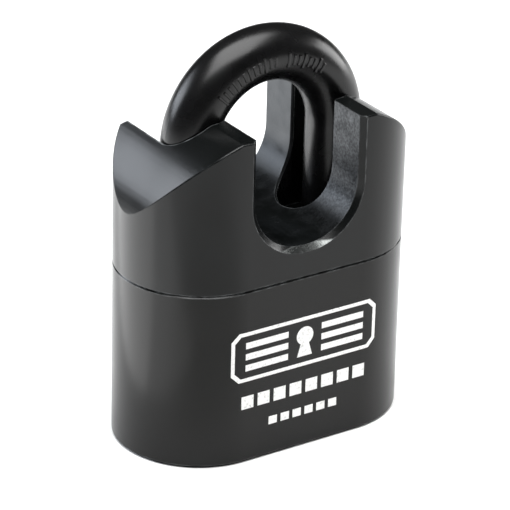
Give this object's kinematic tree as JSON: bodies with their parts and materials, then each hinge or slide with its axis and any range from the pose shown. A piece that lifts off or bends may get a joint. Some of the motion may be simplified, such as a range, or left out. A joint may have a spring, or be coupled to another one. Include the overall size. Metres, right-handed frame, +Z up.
{
  "type": "disc padlock",
  "caption": "Closed-shoulder disc padlock with a two-piece hardened body, round shackle, ball locking and a turning disc cylinder in its base.",
  "frame": {"origin": "centre of the flat base the lock stands on", "axes": "+Z up towards the shackle, X across the two shackle legs with the heel leg at +X, front face towards -Y"},
  "size_m": [0.06, 0.0334, 0.0812],
  "materials": {
    "black_body": "satin black coated hardened steel",
    "black_shackle": "gloss black coated hardened alloy steel",
    "pin_steel": "ground steel pin ends under the black coat",
    "guard_steel": "turned hardened steel",
    "cylinder_steel": "machined steel",
    "ball_steel": "polished bearing steel",
    "brass": "machined brass"
  },
  "bodies": {
    "lock_body": {"lower_body": "black_body", "upper_body": "black_body", "body_pins": "pin_steel", "cylinder_sleeve": "brass", "sleeve_pin": "pin_steel", "ball_cage": "cylinder_steel", "cover_plate": "cylinder_steel", "heel_ball": "ball_steel"},
    "shackle": {"shackle": "black_shackle"},
    "rotor": {"key_guard": "guard_steel", "rotor_cage": "brass", "detainer_disc_1": "brass", "detainer_disc_2": "brass", "detainer_disc_3": "brass", "detainer_disc_4": "brass", "detainer_disc_5": "brass", "detainer_disc_6": "brass", "detainer_disc_7": "brass", "detainer_disc_8": "brass", "detainer_disc_9": "brass", "spacer_washers": "cylinder_steel", "sidebar": "cylinder_steel", "drive_cam": "cylinder_steel"},
    "toe_ball": {"toe_ball": "ball_steel"}
  },
  "joints": [
    {"name": "shackle_lift", "type": "slide", "parent": "lock_body", "child": "shackle", "axis": [0, 0, 1], "range_m": [0, 0.02]},
    {"name": "cylinder_turn", "type": "hinge", "parent": "lock_body", "child": "rotor", "pos_m": [0, 0, 0], "axis": [0, 0, 1], "range_deg": [-90, 0]},
    {"name": "toe_ball_slide", "type": "slide", "parent": "lock_body", "child": "toe_ball", "axis": [-1, 0, 0], "range_m": [0, 0.00255]}
  ],
  "couplings": [
    {"joint": "toe_ball_slide", "follows": "cylinder_turn", "m_per_rad": -0.0016233}
  ]
}
